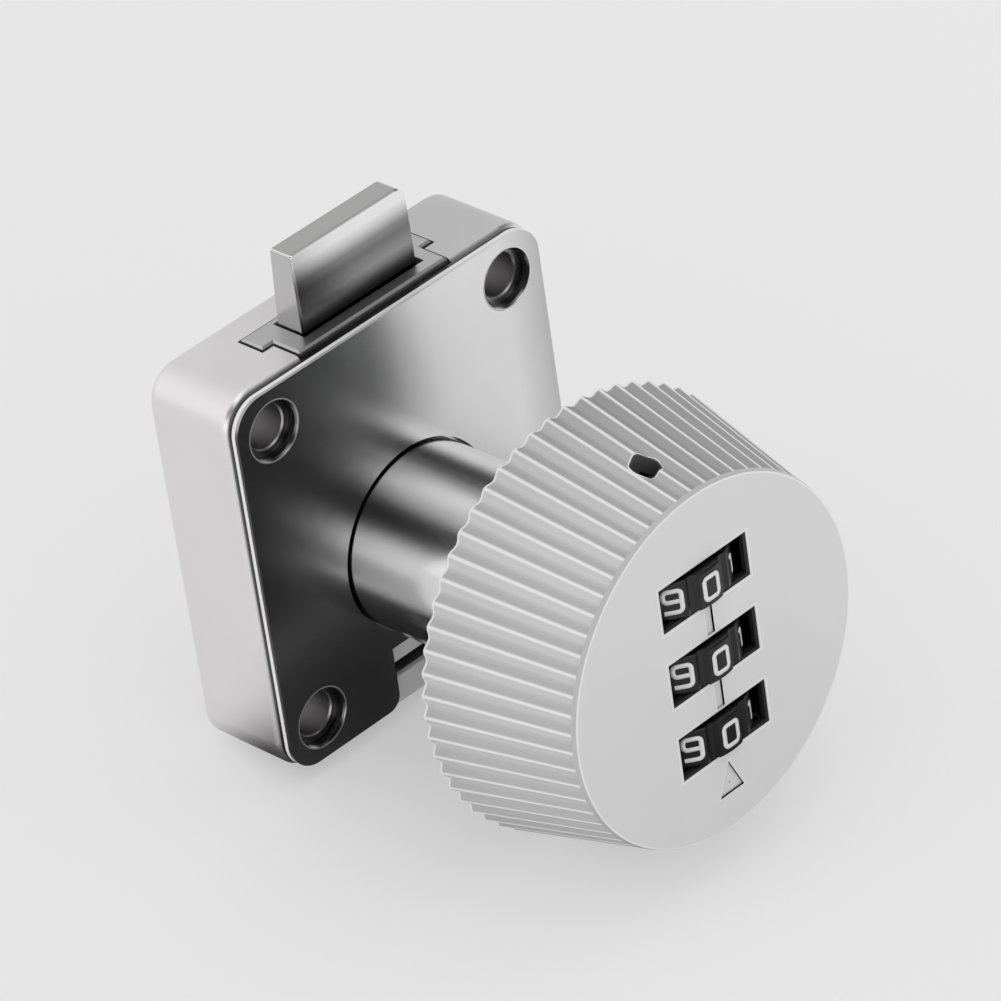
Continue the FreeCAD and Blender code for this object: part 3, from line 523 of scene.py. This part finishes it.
window_x, window_z, bevel = 5.6, 2.135, 0.25
middles = [8.7, 0.5, -7.7]
line_half, mark_deep, cut, rim = 0.5, 0.24, 0.1, 0.25
apex_z = middles[-1] - 3.45
base_z = apex_z - 3.5
triangle = [(0.0, apex_z), (-1.6, base_z), (1.6, base_z)]


def grown(loop, by):
    """A loop of corners moved outwards by a margin, each corner along its two sides."""
    middle_x = sum(x for x, z in loop) / len(loop)
    middle_z = sum(z for x, z in loop) / len(loop)
    moved = []
    for here, (x, z) in enumerate(loop):
        before, after = loop[here - 1], loop[(here + 1) % len(loop)]
        one = Vector((x - before[0], z - before[1])).normalized()
        two = Vector((after[0] - x, after[1] - z)).normalized()
        out_one, out_two = Vector((one.y, -one.x)), Vector((two.y, -two.x))
        if out_one.dot(Vector((x - middle_x, z - middle_z))) < 0.0:
            out_one, out_two = -out_one, -out_two
        corner = (out_one + out_two) / (1.0 + out_one.dot(out_two)) * by
        moved.append((x + corner.x, z + corner.y))
    return moved


edge_bands, wall_bands, floor_bands = [], [], []
for middle_z in middles:
    throat = rectangle(window_x, middle_z - window_z, middle_z + window_z)
    mouth = grown(throat, bevel)
    wall_bands.append((grown(mouth, -0.03), 0.03, grown(throat, -0.01), bevel))
    wall_bands.append((grown(throat, -0.01), bevel, grown(throat, -0.03), bevel + 0.5))
    edge_bands.append((grown(mouth, rim), 0.0, grown(mouth, -0.03), 0.03))
edge_bands.append((grown(triangle, cut), 0.0, triangle, 0.0))
wall_bands.append((grown(triangle, -skin / MM), 0.0, grown(triangle, -2.0 * skin / MM), mark_deep))
floor_bands.append((grown(triangle, -0.03), mark_deep, grown(triangle, -0.95), mark_deep))
for upper, lower in zip(middles, middles[1:]):
    low_end, high_end = lower + window_z + bevel, upper - window_z - bevel
    for side in (-1.0, 1.0):
        edge = [(side * line_half, low_end), (side * line_half, high_end)]
        outside = [(x + side * cut, z) for x, z in edge]
        inside = [(x - side * skin / MM, z) for x, z in edge]
        edge_bands.append((outside, 0.0, edge, 0.0))
        wall_bands.append((inside, 0.0, inside, mark_deep))
    floor_bands.append(([(-line_half + 0.03, low_end), (-line_half + 0.03, high_end)], mark_deep,
                        [(line_half - 0.03, low_end), (line_half - 0.03, high_end)], mark_deep))
# White skins of painted highlight, dark skins of painted shade, and floors in the knob's paint.
painted_highlight_edges = edge_skin("painted_highlight_edges", edge_bands, painted_highlight)
mark_walls = edge_skin("mark_walls", wall_bands, mark_shade)
mark_floors = edge_skin("mark_floors", floor_bands, grey_paint)
print("bright edges:", len(edge_bands), "dark walls:", len(wall_bands), "floors:", len(floor_bands))

# %% [markdown]
# The reset hole in the knob's side is lined by a short dark tube of painted shade, and a thin white ring
# round its mouth is a painted highlight. The ridged surface round it is tapered and curved, so the top of
# the lining follows that surface point by point.

# %% Painted shade in the reset hole
hole_y, hole_r = -32.3, 1.5
rear_y, rear_r = -22.1, 22.0
ridge_end_y, ridge_end_r = -37.5, 18.42
ridge_depth = 0.5


def ridge_surface(x, y):
    """Height of the knob's ridged top over a point of the hole's rim, in mm."""
    tip = rear_r + (ridge_end_r - rear_r) * (rear_y - y) / (rear_y - ridge_end_y)
    depth = tip * ridge_depth / rear_r
    turns = (math.degrees(math.acos(x / tip)) - first_crest) / ridge_pitch
    wave = 0.5 + 0.5 * math.cos(2.0 * math.pi * turns)
    radius = tip - depth * (1.0 - wave)
    return math.sqrt(radius ** 2 - x * x)


def tube(name, outer, inner, low, high, finish):
    """A thin ring round the hole's axis, each end at a distance from the ridged surface."""
    points, faces = [], []
    count = 60
    for radius in (outer, inner):
        for level in (low, high):
            for step in range(count):
                angle = 2.0 * math.pi * step / count
                x, y = radius * math.cos(angle), hole_y + radius * math.sin(angle)
                rim_x, rim_y = outer * math.cos(angle), hole_y + outer * math.sin(angle)
                points.append((x * MM, y * MM, (ridge_surface(rim_x, rim_y) + level) * MM))
    for step in range(count):
        ahead = (step + 1) % count
        rows = [0, count, 3 * count, 2 * count]
        for row, above in zip(rows, rows[1:] + rows[:1]):
            faces.append((row + step, row + ahead, above + ahead, above + step))
    piece = closed_piece(name, points, faces, [finish])
    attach(piece, "knob")
    return piece


# A dark lining of painted shade, and a ring of painted highlight at the mouth.
shade_lining = tube("reset_hole_shade_lining", hole_r - 0.01, hole_r - 0.12, -1.9, -0.05, reset_hole_shade)
bright_rim = tube("reset_hole_rim", hole_r + 0.14, hole_r - 0.01, -0.03, 0.015, painted_highlight)
print("bush faces:", len(shade_lining.data.polygons), "rim faces:", len(bright_rim.data.polygons))

# %% [markdown]
# The notch in the cover plate shows the barrel's flange and, below it, the case's bottom wall. The flange's
# face is a white plate that stands in for its bright reflection as a painted highlight, and the wall's face
# is left as cast. Both are thin plates with a small bevel, set just in front of the solids that carry them.

# %% Faces in the notch
def thin_plate(name, low_x, high_x, low_z, high_z, back_y, thickness, bevel_mm, finish):
    """A flat plate across the lock's axis with bevelled front edges, all in mm."""
    points = []
    for y, inset in ((back_y, 0.0), (back_y - thickness + bevel_mm, 0.0), (back_y - thickness, bevel_mm)):
        points += [(low_x + inset, y, low_z + inset), (high_x - inset, y, low_z + inset),
                   (high_x - inset, y, high_z - inset), (low_x + inset, y, high_z - inset)]
    faces = [(0, 1, 2, 3), (8, 11, 10, 9)]
    for base in (0, 4):
        for step in range(4):
            ahead = (step + 1) % 4
            faces.append((base + step, base + 4 + step, base + 4 + ahead, base + ahead))
    piece = closed_piece(name, [(x * MM, y * MM, z * MM) for x, y, z in points], faces, [finish])
    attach(piece, "case")
    return piece


# The flange's face in white paint: a painted highlight.
flange_face = thin_plate("flange_face_highlight", -5.7, 5.7, -12.0, -9.75, 1.2, 0.75, 0.05, painted_highlight)
wall_face = thin_plate("case_wall_cast_face", -5.7, 5.7, -16.75, -13.9, 1.2, 0.5, 0.05, cast_zinc)
print("faces in the notch:", len(flange_face.data.polygons) + len(wall_face.data.polygons))

# %% [markdown]
# The cover plate is sheared from polished sheet. Its edge carries a painted highlight along the side, with
# a line of painted shade in front of it that is nearly black at the plate's left side, and each screw hole
# has a thin ring of painted highlight, darker towards the left. The edge is one frame that follows the
# plate's outline. The rings are four circles, swept by the same flat brush that paints the numbers.

# %% Painted highlights on the plate's edge and screw holes
plate_low, plate_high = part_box("cover_plate")
plate_edge_light = coated("plate_edge_painted_light", "#FCFCFC", "#F8F8F8", 0.3, 0.2, 0.002)
# Painted shade on the edge's front band: nearly black at the left side, pale towards the right. The rest of
# the edge is a white painted highlight.
graded(plate_edge_light, along("X"), [
    (-20.2, "#202020"), (-19.95, "#303030"), (-19.7, "#B8B8B8"), (-8.0, "#B8B8B8"),
    (2.0, "#DCDCDC"), (20.2, "#F4F4F4")],
    where=between("Y", -0.1, 0.33, 0.02))


def plate_outline(offset, corner=3.3, steps=24):
    """Points round the plate's outline, moved outwards by an offset in mm."""
    low_x, high_x = plate_low.x / MM, plate_high.x / MM
    low_z, high_z = plate_low.z / MM, plate_high.z / MM
    points = []
    for centre_x, centre_z, turn_from in (
            (high_x - corner, high_z - corner, 0.0), (low_x + corner, high_z - corner, 90.0),
            (low_x + corner, low_z + corner, 180.0), (high_x - corner, low_z + corner, 270.0)):
        for step in range(steps + 1):
            angle = math.radians(turn_from + 90.0 * step / steps)
            points.append((centre_x + (corner + offset) * math.cos(angle),
                           centre_z + (corner + offset) * math.sin(angle)))
    return points


def notch_side(offset, half=5.75, top=-10.0, round_r=1.5, steps=8):
    """Points down the notch's right side and round its mouth, moved outwards by an offset."""
    centre_x, centre_z = half + round_r, plate_low.z / MM + round_r
    points = [(half - offset, top - offset)]
    for step in range(steps + 1):
        angle = math.radians(90.0 * step / steps)
        points.append((centre_x - (round_r + offset) * math.cos(angle),
                       centre_z - (round_r + offset) * math.sin(angle)))
    return points


def plate_frame(name):
    """A closed frame on the plate's bevel, round the outline and the notch."""
    section = [(-0.4, -0.004), (0.03, -0.004), (0.03, 0.78), (-0.4, 0.78)]
    points = []
    for offset, y in section:
        loop = plate_outline(offset)
        count = 3 * len(loop) // 4
        side = notch_side(offset)
        path = side + loop[count:] + loop[:count] + [(-x, z) for x, z in reversed(side)]
        length = len(path)
        points += [(x * MM, y * MM, z * MM) for x, z in path]
    faces, slots = [], []
    for here in range(4):
        other = (here + 1) % 4
        for step in range(length):
            after = (step + 1) % length
            faces.append((here * length + step, here * length + after,
                          other * length + after, other * length + step))
            slots.append(0 if here == 0 else 1)
    piece = closed_piece(name, points, faces, [mirror_nickel, plate_edge_light], slots)
    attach(piece, "case")
    return piece


plate_edge = plate_frame("plate_edge_light_frame")
hole_rim_light = coated("painted_hole_rim_highlight", "#FAFAFA", "#F4F4F4", 0.35, 0.2, 0.002)
# Painted highlight on the hole rims, with painted shade towards the left.
graded(hole_rim_light, along("X"), [
    (-19.0, "#8A8A8A"), (-12.0, "#9C9C9C"), (12.0, "#D0D0D0"), (18.0, "#FFFFFF")])
hole_rim_r, rim_steps = 3.12, 60
circles = bpy.data.curves.new("hole_circles", "CURVE")
circles.dimensions = "3D"
for centre_x in (-screw_x, screw_x):
    for centre_z in (screw_low_z, screw_high_z):
        spline = circles.splines.new("POLY")
        spline.points.add(rim_steps - 1)
        spline.use_cyclic_u = True
        for step, point in enumerate(spline.points):
            angle = 2.0 * math.pi * step / rim_steps
            point.co = ((centre_x + hole_rim_r * math.cos(angle)) * MM,
                        (centre_z + hole_rim_r * math.sin(angle)) * MM, 0.0, 1.0)
circle_path = show(bpy.data.objects.new("hole_circles", circles))
rim_mesh = swept_mesh(circle_path, flat_brush, {
    "Brush Width": 0.14 * MM, "Brush Thickness": 0.012 * MM, "Corner Radius": 0.0,
    "Finish": hole_rim_light})
for vertex in rim_mesh.vertices:
    vertex.co = (vertex.co.x, -vertex.co.z, vertex.co.y)
hole_rims = show(bpy.data.objects.new("screw_hole_rims", rim_mesh))
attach(hole_rims, "case")
print("edge faces:", len(plate_edge.data.polygons), "rim faces:", len(rim_mesh.polygons))

# %% [markdown]
# The lock is photographed lying on a table: the knob's rear rim and the case's lower back edge
# touch it. The floor is a plane through those two lines, so it leans a little in the lock's own
# frame. The floor is only stage, and it goes far enough to fill the picture.

# %% Floor
case_low, case_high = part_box("case")
knob_low, knob_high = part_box("knob_shell")
rim_touch = Vector((0.0, knob_high.y, knob_low.z))
case_touch = Vector((0.0, case_high.y - 0.3 * MM, case_low.z + 0.3 * MM))
lean = math.atan2(case_touch.z - rim_touch.z, case_touch.y - rim_touch.y)
floor_reach = 1.2


def sheet(name, corners):
    """A flat sheet between four corners."""
    mesh = bpy.data.meshes.new(name)
    mesh.from_pydata(corners, [], [(0, 1, 2, 3)])
    return show(bpy.data.objects.new(name, mesh))


def floor_corners():
    """Corners of a wide plane that leans with the line from the knob's rim to the case."""
    ahead = Vector((0.0, math.cos(lean), math.sin(lean)))
    corners = []
    for side, way in ((-1, -1), (1, -1), (1, 1), (-1, 1)):
        corner = rim_touch + ahead * floor_reach * way + Vector((floor_reach * side, 0.0, 0.0))
        corners.append(tuple(corner - Vector((0.0, 0.0, 0.05 * MM))))
    return corners


def floor_finish():
    """Matt white board. Camera and mirrors see it partly lit from behind, so its shadow stays pale."""
    material, tree, out, place = new_finish("matt_white_board")
    board = add(tree, "ShaderNodeBsdfPrincipled", inputs={
        "Base Color": linear("#F6F6F6"), "Roughness": 0.9, "Specular IOR Level": 0.1})
    glow = add(tree, "ShaderNodeEmission", inputs={"Color": linear("#FDFDFD"), "Strength": 1.0})
    ray = add(tree, "ShaderNodeLightPath")
    mirrored = add(tree, "ShaderNodeMath", {"operation": "MAXIMUM"}, {
        0: (ray, "Is Glossy Ray"), 1: (ray, "Is Transmission Ray")})
    direct = add(tree, "ShaderNodeMath", {"operation": "MAXIMUM"}, {
        0: (ray, "Is Camera Ray"), 1: (mirrored, "Value")})
    share = add(tree, "ShaderNodeMapRange", inputs={
        "Value": (direct, "Value"), "To Min": 0.0, "To Max": 0.4})
    seen = add(tree, "ShaderNodeMixShader", inputs={
        "Fac": (share, "Result"), 1: (board, "BSDF"), 2: (glow, "Emission")})
    tree.links.new(seen.outputs["Shader"], out.inputs["Surface"])
    return material


floor = sheet("floor", floor_corners())
floor.data.materials.append(floor_finish())
print("floor leans by", round(math.degrees(lean), 2), "degrees")

# %% [markdown]
# A long lens stands well back, to the left of the lock and above it, as the photograph's did.
# Its place and turn come from the corners of the plate and the circles of the knob.

# %% Camera
camera_data = bpy.data.cameras.new("camera")
camera_data.sensor_width = 36.0
camera_data.lens = 267.5
camera_data.clip_end = 10.0
camera = show(bpy.data.objects.new("camera", camera_data))
camera.location = (-0.38318, -0.44770, 0.38378)
camera.rotation_euler = [math.radians(a) for a in (56.7871, 7.1943, -46.0186)]
bpy.context.scene.camera = camera
print("camera distance:", round(camera.location.length, 3), "m")

# %% [markdown]
# Soft studio light: one broad lamp overhead and a pale world all round, weaker from above and
# stronger from below, as a white table throws light back up. Polished metal shows what stands
# round it, so the world in front of the lock has the grey flags of a product table between its
# white panels: bands that run by the angle round the lock's own axis. Behind the lock the world
# is plain and a little brighter at the left. The camera itself sees a plain pale backdrop beyond
# the floor's end.

# %% Lamps and world
def soft_lamp(name, place, target, size, watts):
    """A square soft lamp that points at a target."""
    data = bpy.data.lights.new(name, "AREA")
    data.size = size
    data.energy = watts
    lamp = show(bpy.data.objects.new(name, data))
    lamp.location = place
    lamp.rotation_euler = (Vector(target) - Vector(place)).to_track_quat("-Z", "Y").to_euler()
    return lamp


middle = (0.0, -0.01, 0.0)
soft_lamp("overhead_lamp", (0.14, -0.20, 0.6), middle, 0.6, 0.6)

world = bpy.data.worlds.new("studio")
world.use_nodes = True
studio = world.node_tree
studio.nodes.clear()
looked = add(studio, "ShaderNodeTexCoord")
parts = add(studio, "ShaderNodeSeparateXYZ", inputs={"Vector": (looked, "Generated")})
turn = add(studio, "ShaderNodeMath", {"operation": "ARCTAN2"}, {0: (parts, "Z"), 1: (parts, "X")})
share = add(studio, "ShaderNodeMapRange", inputs={
    "Value": (turn, "Value"), "From Min": -math.pi, "From Max": math.pi, "To Min": 0.0, "To Max": 1.0})
bands = add(studio, "ShaderNodeValToRGB", inputs={"Fac": (share, "Result")})
panels = [(-180, 1.5), (-160, 1.4), (-130, 0.95), (0, 0.95), (14, 0.9), (28, 0.02), (66, 0.02),
          (85, 0.95), (106, 1.0), (122, 0.04), (145, 0.05), (164, 1.4), (180, 1.5)]
set_stops(bands, [(angle, (grey, grey, grey, 1.0)) for angle, grey in panels], -180.0, 180.0)
front = add(studio, "ShaderNodeMapRange", inputs={
    "Value": (parts, "Y"), "From Min": -0.12, "From Max": 0.02, "To Min": 0.0, "To Max": 1.0})
behind = add(studio, "ShaderNodeMapRange", inputs={
    "Value": (parts, "X"), "From Min": -0.55, "From Max": 0.3, "To Min": 1.0, "To Max": 0.74})
mixed = add(studio, "ShaderNodeMix", {"data_type": "RGBA"}, {
    "Factor": (front, "Result"), MIX_A: (bands, "Color"), MIX_B: (behind, "Result")})
ray = add(studio, "ShaderNodeLightPath")
side = add(studio, "ShaderNodeVectorMath", {"operation": "DOT_PRODUCT"}, {
    0: (looked, "Generated"), 1: (0.3, 0.0, 0.95)})
fall = add(studio, "ShaderNodeMapRange", inputs={
    "Value": (side, "Value"), "From Min": -1.0, "From Max": 1.0, "To Min": 1.45, "To Max": 0.45})
around = add(studio, "ShaderNodeBackground", inputs={
    "Color": linear("#FFFFFF"), "Strength": (fall, "Result")})
mirrored = add(studio, "ShaderNodeBackground", inputs={"Color": (mixed, MIX_RESULT), "Strength": 1.0})
sky = add(studio, "ShaderNodeMixShader", inputs={
    "Fac": (ray, "Is Glossy Ray"), 1: (around, "Background"), 2: (mirrored, "Background")})
backdrop = add(studio, "ShaderNodeBackground", inputs={"Color": linear("#E6E6E6"), "Strength": 1.0})
seen = add(studio, "ShaderNodeMixShader", inputs={
    "Fac": (ray, "Is Camera Ray"), 1: (sky, "Shader"), 2: (backdrop, "Background")})
add(studio, "ShaderNodeOutputWorld", inputs={"Surface": (seen, "Shader")})
bpy.context.scene.world = world
bpy.context.scene.view_settings.view_transform = "Standard"
print("lamps:", len(bpy.data.lights), "bands:", len(panels))

# %% [markdown]
# The polished plate shows the table in front of the lock. A photographer lays a black card there
# to give the plate its dark side, and holds a small black flag upright behind the knob, so that
# the plate's upper left stays dark too. Both are stage: only reflections see them, and they cast
# no shadow. The card's edge is soft, because its black fades into clear film at the rim.

# %% Black card and black flag
def card_finish(middle_x, middle_y, half_x, half_y, soft_x, soft_y):
    """Black in the middle, clear at the rim."""
    material, tree, out, place = new_finish("black_card_with_soft_edge")
    where = add(tree, "ShaderNodeSeparateXYZ", inputs={"Vector": (place, "Object")})
    sides = []
    for axis, centre, half, soft in (("X", middle_x, half_x, soft_x), ("Y", middle_y, half_y, soft_y)):
        off = add(tree, "ShaderNodeMath", {"operation": "SUBTRACT"}, {0: (where, axis), 1: centre})
        size = add(tree, "ShaderNodeMath", {"operation": "ABSOLUTE"}, {"Value": (off, "Value")})
        sides.append(add(tree, "ShaderNodeMapRange", {"interpolation_type": "SMOOTHSTEP"}, {
            "Value": (size, "Value"), "From Min": half - soft, "From Max": half,
            "To Min": 1.0, "To Max": 0.0}))
    cover = add(tree, "ShaderNodeMath", {"operation": "MULTIPLY"}, {
        0: (sides[0], "Result"), 1: (sides[1], "Result")})
    film = add(tree, "ShaderNodeBsdfTransparent")
    black = add(tree, "ShaderNodeBsdfDiffuse", inputs={"Color": linear("#5A5A5A")})
    both = add(tree, "ShaderNodeMixShader", inputs={
        "Fac": (cover, "Value"), 1: (film, "BSDF"), 2: (black, "BSDF")})
    tree.links.new(both.outputs["Shader"], out.inputs["Surface"])
    return material


def over_table(x, y):
    """The point just above the table at x and y."""
    return x, y, rim_touch.z + (y - rim_touch.y) * math.tan(lean) + 0.02 * MM


card_low_x, card_high_x = -36.0 * MM, 40.0 * MM
card_low_y, card_high_y = -75.0 * MM, 14.0 * MM
card = sheet("black_card", [
    over_table(card_low_x, card_low_y), over_table(card_high_x, card_low_y),
    over_table(card_high_x, card_high_y), over_table(card_low_x, card_high_y)])
card.data.materials.append(card_finish(
    (card_low_x + card_high_x) / 2.0, (card_low_y + card_high_y) / 2.0,
    (card_high_x - card_low_x) / 2.0, (card_high_y - card_low_y) / 2.0, 12.0 * MM, 9.0 * MM))

flag_low_x, flag_high_x, flag_low_z, flag_high_z = -31.0 * MM, 6.0 * MM, -12.0 * MM, 34.0 * MM
flag_y = -21.0 * MM
flag = sheet("black_flag", [
    (flag_low_x, flag_y, flag_low_z), (flag_high_x, flag_y, flag_low_z),
    (flag_high_x, flag_y, flag_high_z), (flag_low_x, flag_y, flag_high_z)])
flag_black, tree, out, place = new_finish("black_velvet_flag")
velvet = add(tree, "ShaderNodeBsdfDiffuse", inputs={"Color": linear("#101010")})
tree.links.new(velvet.outputs["BSDF"], out.inputs["Surface"])
flag.data.materials.append(flag_black)
for stand in (card, flag):
    stand.visible_camera = False
    stand.visible_diffuse = False
    stand.visible_transmission = False
    stand.visible_shadow = False
print("card:", [round(v / MM) for v in (card_low_x, card_high_x, card_low_y, card_high_y)])
